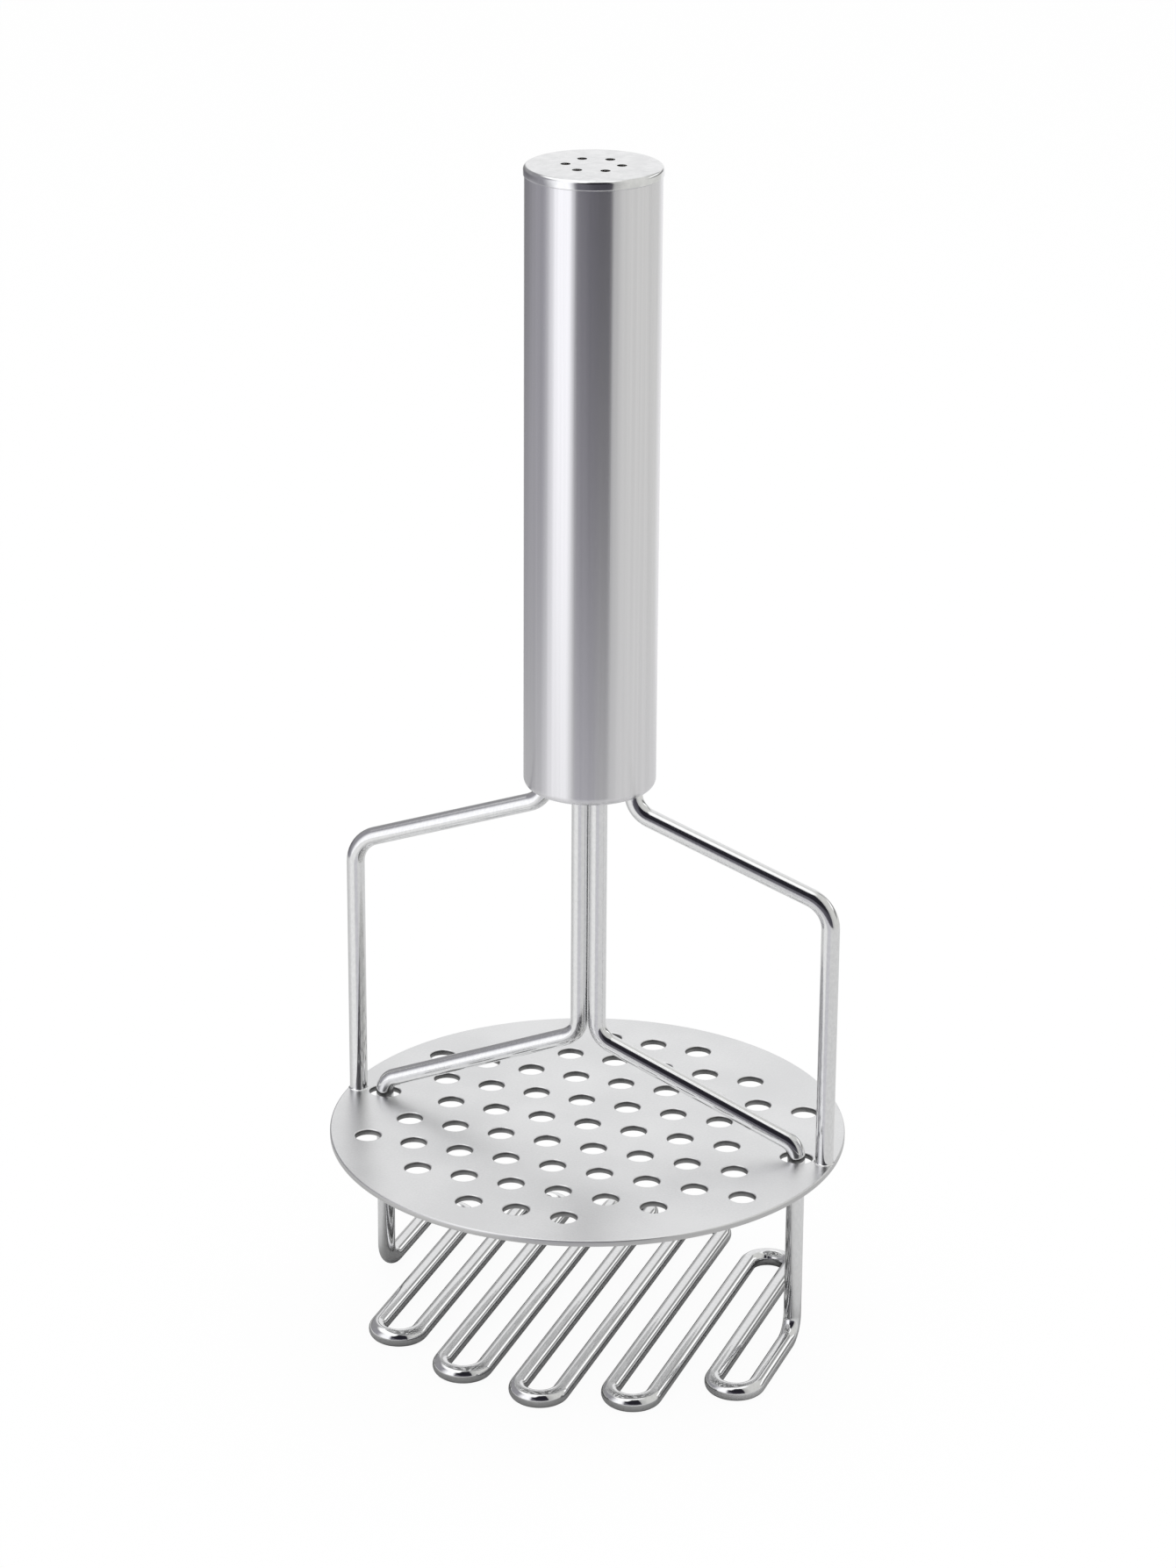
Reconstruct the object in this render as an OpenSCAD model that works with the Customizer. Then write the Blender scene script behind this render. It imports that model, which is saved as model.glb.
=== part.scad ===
// Double-action potato masher.
// It stands on its wire head, with the origin under the head's centre and +Z up the handle.
// X runs across the wire frame and Y along the rows of the zigzag.
// Pressing the handle moves handle, frame wires and plate down over the wire head.

/* [Handle] */
// Outside diameter of the tube
handle_d = 30; // [26:0.5:36]
// Wall of the tube
handle_wall = 1; // [0.8:0.1:1.4]
// Length of the tube
handle_l = 140.6; // [125:0.1:170]
// Outside radius of the rolled lower rim
rim_roll = 2; // [1.8:0.1:2.2]

/* [Cap] */
// Height of the cap above the tube
cap_h = 2.1; // [1.6:0.1:3]
// Thickness of the cap's metal
cap_wall = 1.2; // [0.8:0.1:1.4]
// Overhang of the cap beyond the tube's side
cap_lip = 0.25; // [0.1:0.05:0.5]
// Radius of the cap's rounded edge
cap_edge_r = 0.9; // [0.5:0.1:1.2]
// Depth of the skirt inside the tube
cap_skirt_l = 9; // [6:0.5:14]
// Diameter of the circle of vent holes
vent_ring_d = 12.2; // [9:0.1:13]
// Diameter of a vent hole
vent_d = 2.2; // [1.2:0.1:2.6]
// Number of vent holes
vent_count = 6; // [3:1:8]
// Angle of the first vent hole
vent_turn = 14; // [0:1:59]

/* [Ricer plate] */
// Diameter of the plate
plate_d = 120; // [112:1:135]
// Thickness of the plate
plate_t = 1.4; // [1:0.1:2]
// Radius of the plate's rounded edge
plate_edge_r = 0.3; // [0.1:0.1:0.4]
// Diameter of a hole
hole_d = 6; // [4:0.1:7]
// Distance between holes in a row
hole_pitch = 11.4; // [10.5:0.1:14]
// Distance between rows of holes
hole_row_pitch = 11.8; // [10.5:0.1:14]
// Least width of the plain rim outside the holes
rim_land = 5; // [3:0.5:10]
// Length of the slot for a leg of the mashing wire
slot_l = 7.5; // [6.5:0.1:9]
// Width of that slot
slot_w = 6; // [5.5:0.1:7]
// Least metal between a slot and the holes, and between a slot and a frame wire
slot_web = 0.85; // [0.7:0.05:2]

/* [Frame wires] */
// Diameter of a frame wire
frame_wire_d = 4.2; // [3.6:0.1:5]
// Step from the plate's rim in to the wire's side
rim_inset = 0.2; // [0.1:0.1:2]
// Height of the shoulder's outer corner above the plate
shoulder_h = 63.2; // [58:0.1:85]
// Slope of the shoulder, in degrees
shoulder_slope = 19.7; // [14:0.1:26]
// Metal between a frame wire and the tube, where the wire enters the handle
neck_wall = 1.4; // [1.1:0.1:3]
// Length of wire from the shoulder's inner corner up to the handle
neck_h = 5; // [4.5:0.5:10]
// Centreline radius of the outer bends
shoulder_bend_r = 7.5; // [5:0.5:11]
// Centreline radius of the inner bends
neck_bend_r = 6; // [4:0.5:7]
// Width of the weld round each foot
weld_w = 0.6; // [0.4:0.1:0.8]
// Loss of diameter where a wire is bent
bend_thinning = 0.04; // [0.02:0.01:0.1]

/* [Mashing wire] */
// Diameter of the mashing wire
wire_d = 4.1; // [3.2:0.1:4.4]
// Gap between the two strands of the shaft
strand_gap = 0.2; // [0.1:0.1:1.2]
// Height of the fork above the plate at rest
fork_h = 22.8; // [18:0.1:30]
// Slope of the arms, in degrees
arm_slope = 22; // [18:0.5:24]
// Centreline radius of the bends at the fork
fork_bend_r = 5.5; // [4:0.5:8]
// Centreline radius of the bends above the slots
slot_bend_r = 4; // [3:0.5:5]
// Centreline radius of the bend at the foot of each leg
foot_bend_r = 5; // [4:0.5:6]
// Reach of the middle turns of the zigzag, from the centre to the wire's centreline
head_reach = 50.5; // [42:0.5:56]
// Reach of the turns, from the middle ones out to the last
turn_reach_shares = [1, 0.91, 0.89, 0.69, 0.63];

/* [Stroke and spring] */
// Travel of the handle
travel = 40; // [25:1:44]
// Distance between the plate and the zigzag at the end of the travel
stop_gap = 1.9; // [1:0.1:6]
// Gap between the spring and the tube
spring_gap = 3; // [1.5:0.1:3.5]
// Diameter of the spring's wire
spring_wire_d = 1.6; // [1.2:0.1:2]
// Number of turns in the spring
spring_turns = 18; // [12:1:22]
// Gap between the close turns at each end of the spring
spring_end_gap = 0.5; // [0.45:0.05:1]

/* [Inside the handle] */
// Height of the plug that carries the frame wires
plug_h = 10; // [9:0.5:14]
// Depth of the socket for a frame wire
socket_h = 8; // [6:0.5:8.5]
// Wall of the guide bush outside the strands
bush_wall = 1.6; // [1:0.1:2]
// Width of the bush's flange beyond its body
bush_lip = 1.4; // [1:0.1:1.8]
// Thickness of that flange
bush_lip_t = 1.5; // [1:0.1:2]
// Width of the bump stop's ring
bump_w = 3.5; // [2.5:0.1:3.5]
// Gap between the bump stop and the tube
bump_gap = 1; // [0.5:0.1:1.5]
// Thickness of the bump stop
bump_t = 2.5; // [2.2:0.1:4]
// Height of the plunger without its boss
plunger_h = 12; // [10:0.5:16]
// Depth of the hollow under the plunger
hollow_h = 6.5; // [5:0.5:7]
// Height of the plunger's boss inside the spring
boss_h = 4; // [3:0.5:8]
// Gap between the spring and the boss or collar inside it
boss_gap = 0.4; // [0.3:0.1:0.8]
// Wall of the crimp sleeve outside the strands
sleeve_wall = 1.6; // [1:0.1:1.8]
// Height of the crimp sleeve
sleeve_h = 5; // [3:0.5:5]
// Thickness of the retaining clip
clip_t = 1; // [0.6:0.1:1.6]
// Length of wire above the retaining clip
wire_tail = 2.5; // [1:0.5:6]
// Thickness of the spring seat's flange
seat_t = 2; // [1.2:0.1:3]
// Length of the spring seat's collar
seat_collar_l = 5; // [3:0.5:8]
// Wall of that collar
seat_collar_wall = 1.1; // [0.8:0.1:1.2]

/* [Fits] */
// Radial clearance of the strands in the guide bush
running_clear = 0.05; // [0.02:0.01:0.1]
// Radial clearance of pieces that are pressed or brazed together
seat_clear = 0.02; // [0.01:0.01:0.05]
// Radial clearance of the plunger in the tube
plunger_clear = 0.3; // [0.2:0.05:0.5]
// Radial bite of the retaining clip on the wire
clip_bite = 0.05; // [0.02:0.01:0.08]

/* [Hidden] */
$fn = 64;
overrun = 1;          // how far a cut runs past the solid that it opens
spring_rings = 8;     // rings in each turn of the spring
spring_sides = 6;     // sides of the spring's wire
wire_sides = 24;      // sides of a bent wire's outline
lap_turn = 1.5;       // degrees that a bend runs on inside the straight wire at each end

// Inside of the tube and of its rolled rim
bore_r = handle_d / 2 - handle_wall;
opening_r = handle_d / 2 - rim_roll;

// Plate and frame
plate_low = wire_d + stop_gap + travel;
plate_top = plate_low + plate_t;
frame_x = plate_d / 2 - rim_inset - frame_wire_d / 2;
neck_x = bore_r - neck_wall - frame_wire_d / 2;
shoulder_z = plate_top + shoulder_h;
neck_z = shoulder_z + (frame_x - neck_x) * tan(shoulder_slope);
handle_z = neck_z + neck_h;
handle_top = handle_z + handle_l;

// What the handle holds, from its lower rim up
plug_z = handle_z + handle_wall;
plug_top = plug_z + plug_h;
plunger_z = plug_top + bump_t;
plunger_top = plunger_z + plunger_h;
clip_z = plunger_top + boss_h;
wire_top = clip_z + clip_t + wire_tail;
sleeve_z = plunger_z + hollow_h - sleeve_h;
seat_z = handle_top + cap_h - cap_wall - seat_t;
skirt_r = bore_r - seat_clear;
spring_r = bore_r - spring_gap;
spring_bore_r = (spring_r - spring_wire_d) * cos(180 / spring_rings);

// Mashing wire and what its two strands pass through
wire_r = wire_d / 2;
strand_x = (wire_d + strand_gap) / 2;
strands_w = 2 * wire_d + strand_gap;
bush_l = strands_w + 2 * bush_wall;
bush_w = wire_d + 2 * bush_wall;
bump_bore_r = bore_r - bump_gap - bump_w;
leg_x = frame_x - frame_wire_d / 2 - slot_web - slot_l / 2;
fork_z = plate_top + fork_h;
arm_end_z = fork_z - (leg_x - strand_x) * tan(arm_slope);
turn_count = 2 * len(turn_reach_shares);
row_pitch = 2 * leg_x / turn_count;
turn_r = row_pitch / 2;

// Turn k joins rows k and k + 1, at the back if k is even and at the front if it is odd
function turn_side(k) = k % 2 == 0 ? 1 : -1;
function turn_rank(k) = abs(k - (turn_count - 1) / 2) - 1 / 2;
function turn_y(k) = turn_side(k) * (head_reach * turn_reach_shares[turn_rank(k)] - turn_r);

// Length of straight wire that a bend of radius r takes on each side of its corner
function trim(r, angle) = r * tan(angle / 2);

// Straight wire up from the origin. What follows it is drawn from its end.
module run(l, d) {
    cylinder(d = d, h = l);
    translate([0, 0, l]) children();
}

// Bend in a wire that comes up through the origin. It leans over towards the compass angle
// toward, and what follows it is drawn from its end. The bent wire is a little thinner, and runs on
// inside the straight wire at both ends.
module turn(r, angle, toward, d) {
    rotate([0, 0, toward]) translate([r, 0, 0]) {
        rotate([90, 0, 180]) rotate([0, 0, -lap_turn]) rotate_extrude(angle = angle + 2 * lap_turn)
            translate([r, 0]) circle(d = d - bend_thinning);
        rotate([0, angle, 0]) translate([-r, 0, 0]) children();
    }
}

// Flat outline with two straight sides and round ends, l long over all and w wide
module oblong(l, w) {
    for (side = [-1, 1]) translate([side * (l - w) / 2, 0]) circle(d = w);
    square([l - w, w], center = true);
}

// Oblong bore for both strands of the mashing wire
module strand_bore(z, h, clear) {
    translate([0, 0, z - overrun]) linear_extrude(h + 2 * overrun)
        oblong(strands_w + 2 * clear, wire_d + 2 * clear);
}

module ring(z, h, outer_r, inner_r) {
    translate([0, 0, z]) difference() {
        cylinder(r = outer_r, h = h);
        translate([0, 0, -overrun]) cylinder(r = inner_r, h = h + 2 * overrun);
    }
}

// Brushed tube with its lower rim rolled inwards
module handle_tube() {
    color([0.72, 0.72, 0.74]) translate([0, 0, handle_z]) rotate_extrude($fn = 128) difference() {
        union() {
            translate([0, rim_roll]) square([handle_d / 2, handle_l - rim_roll]);
            square([opening_r, rim_roll]);
            translate([opening_r, rim_roll]) circle(r = rim_roll);
        }
        translate([0, -overrun]) square([opening_r, handle_l + 2 * overrun]);
        translate([0, rim_roll]) square([bore_r, handle_l]);
        translate([opening_r, rim_roll]) circle(r = rim_roll - handle_wall);
    }
}

// Pressed cap: a round-edged disc on the tube's end, with a skirt inside the tube
module top_cap() {
    rim_r = handle_d / 2 + cap_lip;
    hollow_r = skirt_r - cap_wall;
    color([0.88, 0.88, 0.9]) translate([0, 0, handle_top]) difference() {
        rotate_extrude($fn = 128) difference() {
            union() {
                square([rim_r, cap_h - cap_edge_r]);
                square([rim_r - cap_edge_r, cap_h]);
                translate([rim_r - cap_edge_r, cap_h - cap_edge_r]) circle(r = cap_edge_r);
                translate([0, -cap_skirt_l]) square([skirt_r, cap_skirt_l + cap_h / 2]);
            }
            translate([0, -cap_skirt_l - overrun])
                square([hollow_r, cap_skirt_l + overrun + cap_h - cap_wall]);
        }
        for (i = [0 : vent_count - 1])
            rotate([0, 0, vent_turn + i * 360 / vent_count])
                translate([vent_ring_d / 2, 0, -overrun]) cylinder(d = vent_d, h = cap_h + 2 * overrun, $fn = 32);
    }
}

// Ring under the cap, with a collar that keeps the spring in the middle
module spring_seat() {
    collar_r = spring_bore_r - boss_gap;
    flange_r = skirt_r - cap_wall - boss_gap;
    color([0.9, 0.88, 0.82]) rotate_extrude() {
        translate([collar_r - seat_collar_wall, seat_z]) square([flange_r - collar_r + seat_collar_wall, seat_t]);
        translate([collar_r - seat_collar_wall, seat_z - seat_collar_l]) square([seat_collar_wall, seat_collar_l]);
    }
}

// Height of the spring's centreline after t turns: close turns at both ends, even ones between
spring_l = seat_z - plunger_top - spring_wire_d;
end_pitch = spring_wire_d + spring_end_gap;
open_pitch = (spring_l - 2 * end_pitch) / (spring_turns - 2);
function spring_z(t) = end_pitch * min(t, 1) + open_pitch * max(0, min(t - 1, spring_turns - 2))
    + end_pitch * max(0, t - spring_turns + 1);

// Compression spring, one unbroken wire from the plunger up to the seat
module compression_spring() {
    coil_r = spring_r - spring_wire_d / 2;
    rings = spring_turns * spring_rings;
    centres = [for (i = [0 : rings])
        let (t = i / spring_rings)
        [coil_r * cos(360 * t), coil_r * sin(360 * t), plunger_top + spring_wire_d / 2 + spring_z(t)]];
    points = [for (i = [0 : rings], j = [0 : spring_sides - 1])
        let (around = 360 * i / spring_rings, tilt = 360 * j / spring_sides + 90)
        centres[i] + spring_wire_d / 2
            * [cos(tilt) * cos(around), cos(tilt) * sin(around), sin(tilt)]];
    sides = [for (i = [0 : rings - 1], j = [0 : spring_sides - 1])
        let (a = i * spring_sides + j, b = i * spring_sides + (j + 1) % spring_sides)
        each [[a, b, b + spring_sides], [a, b + spring_sides, a + spring_sides]]];
    first = [for (j = [spring_sides - 1 : -1 : 0]) j];
    final = [for (j = [0 : spring_sides - 1]) rings * spring_sides + j];
    gap = min([for (i = [0 : rings - spring_rings])
        norm(centres[i + spring_rings] - centres[i])]) - spring_wire_d;
    echo(least_gap_between_turns = gap);
    color([0.62, 0.62, 0.64]) polyhedron(points = points, faces = concat([first], sides, [final]), convexity = 20);
}

// Spring-steel clip, pressed over both strands above the plunger
module retaining_clip() {
    color([0.55, 0.55, 0.58]) difference() {
        translate([0, 0, clip_z]) linear_extrude(clip_t)
            oblong(strands_w + 2 * sleeve_wall, wire_d + 2 * sleeve_wall);
        strand_bore(clip_z, clip_t, -clip_bite);
    }
}

// Piston on the strands, which carries the spring round its boss
module plunger() {
    color([0.92, 0.9, 0.84]) difference() {
        union() {
            translate([0, 0, plunger_z]) cylinder(r = bore_r - plunger_clear, h = plunger_h);
            translate([0, 0, plunger_z + hollow_h]) cylinder(r = spring_bore_r - boss_gap,
                h = plunger_h + boss_h - hollow_h);
        }
        translate([0, 0, plunger_z - overrun]) cylinder(r = bump_bore_r, h = hollow_h + overrun);
        strand_bore(plunger_z, plunger_h + boss_h, running_clear);
    }
}

// Sleeve clamped round both strands, the shoulder under the plunger
module crimp_sleeve() {
    color([0.6, 0.6, 0.62]) difference() {
        translate([0, 0, sleeve_z]) linear_extrude(sleeve_h)
            oblong(strands_w + 2 * sleeve_wall, wire_d + 2 * sleeve_wall);
        strand_bore(sleeve_z, sleeve_h, seat_clear);
    }
}

// Rubber ring on the plug, where the plunger comes to rest
module bump_stop() {
    color([0.15, 0.15, 0.15]) ring(plug_top, bump_t, bore_r - bump_gap, bump_bore_r);
}

// Nylon bush in the plug, in which both strands slide
module guide_bush() {
    color([0.92, 0.9, 0.84]) difference() {
        union() {
            translate([0, 0, plug_z]) linear_extrude(plug_h) oblong(bush_l, bush_w);
            translate([0, 0, plug_top]) linear_extrude(bush_lip_t)
                oblong(bush_l + 2 * bush_lip, bush_w + 2 * bush_lip);
        }
        strand_bore(plug_z, plug_h + bush_lip_t, running_clear);
    }
}

// Metal plug behind the rolled rim, with a socket for each frame wire
module base_plug() {
    lead = rim_roll - handle_wall;
    color([0.6, 0.6, 0.62]) difference() {
        translate([0, 0, plug_z]) rotate_extrude($fn = 128)
            polygon([[0, 0], [skirt_r - lead, 0], [skirt_r, lead], [skirt_r, plug_h], [0, plug_h]]);
        translate([0, 0, plug_z - overrun]) linear_extrude(plug_h + 2 * overrun)
            oblong(bush_l + 2 * seat_clear, bush_w + 2 * seat_clear);
        for (side = [-1, 1])
            translate([side * neck_x, 0, plug_z - overrun])
                cylinder(r = frame_wire_d / 2 + seat_clear, h = socket_h + overrun);
    }
}

// Frame wire on the right: weld on the plate, upright, shoulder and neck, up into the plug's socket
module frame_wire() {
    lean = 90 - shoulder_slope;
    shoulder_l = (frame_x - neck_x) / cos(shoulder_slope);
    translate([frame_x, 0, plate_top])
        run(shoulder_h - trim(shoulder_bend_r, lean), frame_wire_d)
        turn(shoulder_bend_r, lean, 180, frame_wire_d)
        run(shoulder_l - trim(shoulder_bend_r, lean) - trim(neck_bend_r, lean), frame_wire_d)
        turn(neck_bend_r, lean, 180, frame_wire_d)
        run(plug_z + socket_h - neck_z - trim(neck_bend_r, lean), frame_wire_d);
    intersection() {
        translate([frame_x, 0, plate_top])
            cylinder(r1 = frame_wire_d / 2 + weld_w, r2 = frame_wire_d / 2, h = weld_w);
        cylinder(d = plate_d, h = shoulder_z);
    }
}

module left_frame_wire() {
    color([0.8, 0.8, 0.82]) rotate([0, 0, 180]) frame_wire($fn = wire_sides);
}

module right_frame_wire() {
    color([0.8, 0.8, 0.82]) frame_wire($fn = wire_sides);
}

// Staggered holes wherever one fits inside the rim and clear of the slots
function hole_fits(x, y) =
    norm([x, y]) + hole_d / 2 <= plate_d / 2 - rim_land
    && (abs(y) >= (slot_w + hole_d) / 2 + slot_web
        || abs(x) + hole_d / 2 <= leg_x - slot_l / 2 - slot_web);

module ricer_plate() {
    rows = floor(plate_d / 2 / hole_row_pitch);
    columns = ceil(plate_d / 2 / hole_pitch);
    color([0.84, 0.84, 0.85]) translate([0, 0, plate_low]) difference() {
        rotate_extrude($fn = 256) {
            square([plate_d / 2 - plate_edge_r, plate_t]);
            translate([0, plate_edge_r]) square([plate_d / 2, plate_t - 2 * plate_edge_r]);
            for (z = [plate_edge_r, plate_t - plate_edge_r])
                translate([plate_d / 2 - plate_edge_r, z]) circle(r = plate_edge_r, $fn = 32);
        }
        for (j = [-rows : rows], i = [-columns : columns]) {
            x = (i + (abs(j) % 2) / 2) * hole_pitch;
            y = j * hole_row_pitch;
            if (hole_fits(x, y))
                translate([x, y, -overrun]) cylinder(d = hole_d, h = plate_t + 2 * overrun, $fn = 48);
        }
        for (side = [-1, 1])
            translate([side * leg_x, 0, -overrun]) linear_extrude(plate_t + 2 * overrun) oblong(slot_l, slot_w);
    }
}

// Rows and turns of the zigzag from turn k out to the last, and then what follows
module zigzag(k) {
    row_l = k == turn_count / 2 - 1 ? abs(turn_y(k)) : abs(turn_y(k) - turn_y(k + 1));
    run(row_l, wire_d) turn(turn_r, 180, 180, wire_d) {
        if (k > 0) zigzag(k - 1) children();
        else children();
    }
}

// Half of the mashing wire, from the middle of the zigzag out to the top of one strand
module half_wire() {
    lean = 90 - arm_slope;
    arm_l = (leg_x - strand_x) / cos(arm_slope);
    translate([0, 0, wire_r]) rotate([-90 * turn_side(turn_count / 2 - 1), 0, 0])
        zigzag(turn_count / 2 - 1)
        run(turn_y(0) - foot_bend_r, wire_d)
        turn(foot_bend_r, 90, 90, wire_d)
        run(arm_end_z - wire_r - foot_bend_r - trim(slot_bend_r, lean), wire_d)
        turn(slot_bend_r, lean, -90, wire_d)
        run(arm_l - trim(slot_bend_r, lean) - trim(fork_bend_r, lean), wire_d)
        turn(fork_bend_r, lean, 180, wire_d)
        run(wire_top - fork_z - trim(fork_bend_r, lean), wire_d);
}

// The whole mashing wire, one length bent alike on both sides of the zigzag's middle
module mashing_wire() {
    color([0.8, 0.8, 0.82]) for (half = [0, 180]) rotate([0, 0, half]) half_wire($fn = wire_sides);
}

handle_tube();
top_cap();
spring_seat();
compression_spring();
retaining_clip();
plunger();
crimp_sleeve();
bump_stop();
guide_bush();
base_plug();
left_frame_wire();
right_frame_wire();
ricer_plate();
mashing_wire();
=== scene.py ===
import math

import bmesh
import bpy
from mathutils import Matrix, Vector


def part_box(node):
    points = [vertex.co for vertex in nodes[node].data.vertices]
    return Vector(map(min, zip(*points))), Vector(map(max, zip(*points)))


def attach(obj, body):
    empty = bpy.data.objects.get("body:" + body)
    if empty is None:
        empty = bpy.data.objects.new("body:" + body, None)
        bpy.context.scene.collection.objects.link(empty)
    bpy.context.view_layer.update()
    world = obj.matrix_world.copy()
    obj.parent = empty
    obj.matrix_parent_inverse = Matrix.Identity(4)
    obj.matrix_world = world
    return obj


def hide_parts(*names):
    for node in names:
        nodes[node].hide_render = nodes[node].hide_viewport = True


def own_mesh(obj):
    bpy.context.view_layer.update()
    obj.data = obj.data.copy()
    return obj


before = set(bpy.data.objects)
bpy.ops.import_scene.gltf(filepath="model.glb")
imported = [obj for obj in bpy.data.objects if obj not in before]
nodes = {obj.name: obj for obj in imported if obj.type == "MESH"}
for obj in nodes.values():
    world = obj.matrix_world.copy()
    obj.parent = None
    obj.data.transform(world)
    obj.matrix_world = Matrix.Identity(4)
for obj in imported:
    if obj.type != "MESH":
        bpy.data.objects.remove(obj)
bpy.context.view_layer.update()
mm = 0.001
print("frame:", len(nodes), "nodes")


# Materials

class Signal:
    # a shader socket that can stand in a sum
    def __init__(self, tree, socket=None):
        self.tree = tree
        self.socket = socket

    def node(self, kind, settings=None, inputs=None, output=0):
        made = self.tree.nodes.new(kind)
        for key, value in (settings or {}).items():
            setattr(made, key, value)
        for key, value in (inputs or {}).items():
            if isinstance(value, Signal):
                self.tree.links.new(value.socket, made.inputs[key])
            else:
                made.inputs[key].default_value = value
        return Signal(self.tree, made.outputs[output])

    def maths(self, operation, *operands):
        return self.node("ShaderNodeMath", {"operation": operation}, dict(enumerate(operands)))

    def __add__(self, other):
        return self.maths("ADD", self, other)

    __radd__ = __add__

    def __sub__(self, other):
        return self.maths("SUBTRACT", self, other)

    def __rsub__(self, other):
        return self.maths("SUBTRACT", other, self)

    def __mul__(self, other):
        return self.maths("MULTIPLY", self, other)

    __rmul__ = __mul__

    def rise(self, low, high):  # 0 below low, 1 above high
        return self.node("ShaderNodeMapRange", {"interpolation_type": "SMOOTHSTEP"},
                         {"Value": self, "From Min": low, "From Max": high})

    def fall(self, low, high):  # 1 below low, 0 above high
        return 1.0 - self.rise(low, high)

    def between(self, start, end):  # 1 from start to end, each of them a soft edge
        return self.rise(*start) * self.fall(*end)

    def stray(self, middle, spread):  # turns noise into a number that strays from middle
        return middle + (self - 0.5) * spread

    def blend(self, first, second):  # first colour where this is 0, second where it is 1
        return self.node("ShaderNodeMix", {"data_type": "RGBA"}, {0: self, 6: first, 7: second}, 2)

    def blendShaders(self, first, second):
        return self.node("ShaderNodeMixShader", None, {0: self, 1: first, 2: second})

    def part(self, axis):  # one part of a vector
        return self.node("ShaderNodeSeparateXYZ", None, {0: self}, "XYZ".index(axis))

    def fromAxis(self):  # distance of this place from the Z axis
        flat = self.node("ShaderNodeCombineXYZ", None, {0: self.part("X"), 1: self.part("Y")})
        return self.node("ShaderNodeVectorMath", {"operation": "LENGTH"}, {0: flat}, 1)

    def noise(self, stretch, detail, rough):  # noise on this vector, finest where stretch is largest
        place = self.node("ShaderNodeMapping", None, {"Vector": self, "Scale": stretch})
        return self.node("ShaderNodeTexNoise", None,
                         {"Vector": place, "Scale": 1.0, "Detail": detail, "Roughness": rough})

    def bump(self, relief, depth):
        return self.node("ShaderNodeBump", None, {"Height": self, "Strength": relief, "Distance": depth})


def grey(level, warmth=0.0):
    return (level + warmth, level, level - warmth, 1.0)


def newMaterial(name, constants):
    material = bpy.data.materials.new(name)
    material.use_nodes = True
    shader = material.node_tree.nodes["Principled BSDF"]
    for key, value in constants.items():
        shader.inputs[key].default_value = value
    start = Signal(material.node_tree)
    coords = start.node("ShaderNodeTexCoord", None, None, "Object")
    return material, shader, coords


def connect(shader, sockets):
    for key, value in sockets.items():
        value.tree.links.new(value.socket, shader.inputs[key])


def dress(shader, s, pattern):  # one pattern gives the colour, the roughness and the relief
    connect(shader, {
        "Base Color": pattern.rise(*s["contrast"]).blend(s["dark"], s["light"]),
        "Roughness": pattern.stray(s["roughness"], s["roughnessSpread"]),
        "Normal": pattern.bump(s["relief"], s["depth"]),
    })


brushedTube = {
    "constants": {"Metallic": 1.0, "Anisotropic": 0.97, "Anisotropic Rotation": 0.25},
    "light": (0.820, 0.815, 0.835, 1.0),
    "dark": (0.777, 0.772, 0.792, 1.0),
    "contrast": (0.35, 0.65),
    "roughness": 0.255,
    "roughnessSpread": 0.03,
    "lines": {"stretch": (110.0, 110.0, 7000.0), "detail": 3.0, "rough": 0.6},  # fine marks round the tube
    "streaks": {"stretch": (900.0, 900.0, 5.0), "detail": 3.0, "rough": 0.5},  # soft streaks along it
    "lineColourShare": 0.08,
    "lineReliefShare": 0.01,
    "relief": 0.3,
    "depth": 0.05 * mm,
}


def makeBrushedTube():
    s = brushedTube
    material, shader, coords = newMaterial("brushedTube", s["constants"])
    lines = coords.noise(**s["lines"])
    streaks = coords.noise(**s["streaks"])
    tone = lines * s["lineColourShare"] + streaks * (1 - s["lineColourShare"])
    connect(shader, {
        "Base Color": tone.rise(*s["contrast"]).blend(s["dark"], s["light"]),
        "Roughness": lines.stray(s["roughness"], s["roughnessSpread"]),
        "Normal": (lines * s["lineReliefShare"] + streaks).bump(s["relief"], s["depth"]),
    })
    return material


polishedWire = {
    "constants": {"Metallic": 1.0},
    "light": grey(0.82, -0.002),
    "dark": grey(0.77, -0.003),
    "contrast": (0.35, 0.65),
    "roughness": 0.09,
    "roughnessSpread": 0.05,
    "mottle": {"stretch": (1500.0, 1500.0, 900.0), "detail": 3.0, "rough": 0.55},  # waves left by polishing
    "relief": 0.3,
    "depth": 0.02 * mm,
}


def makePolishedWire():
    s = polishedWire
    material, shader, coords = newMaterial("polishedWire", s["constants"])
    dress(shader, s, coords.noise(**s["mottle"]))
    return material


satinPlate = {
    "constants": {"Metallic": 1.0},
    "light": grey(0.83, -0.002),
    "dark": grey(0.755, -0.003),
    "contrast": (0.35, 0.65),
    "rimSideShade": grey(0.57),  # painted shade on the rim's side
    "wallShadeTop": grey(0.10),  # painted shade on the walls of the holes and slots, darkest at the top
    "wallShadeFoot": grey(0.40),
    "rimWidth": 1.0 * mm,
    "wallUpright": (0.2, 0.7),  # how upright the normal is where a hole's wall passes into the sheet
    "rimUpright": (0.05, 0.35),  # and where the rim's side does
    "roughness": 0.34,
    "roughnessSpread": 0.08,
    "cutRoughness": 0.20,
    "grain": {"stretch": (1900.0, 1900.0, 1900.0), "detail": 2.0, "rough": 0.6},
    "clouds": {"stretch": (45.0, 45.0, 45.0), "detail": 3.0, "rough": 0.5},
    "cloudShare": 0.6,
    "relief": 0.25,
    "depth": 0.02 * mm,
}


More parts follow.
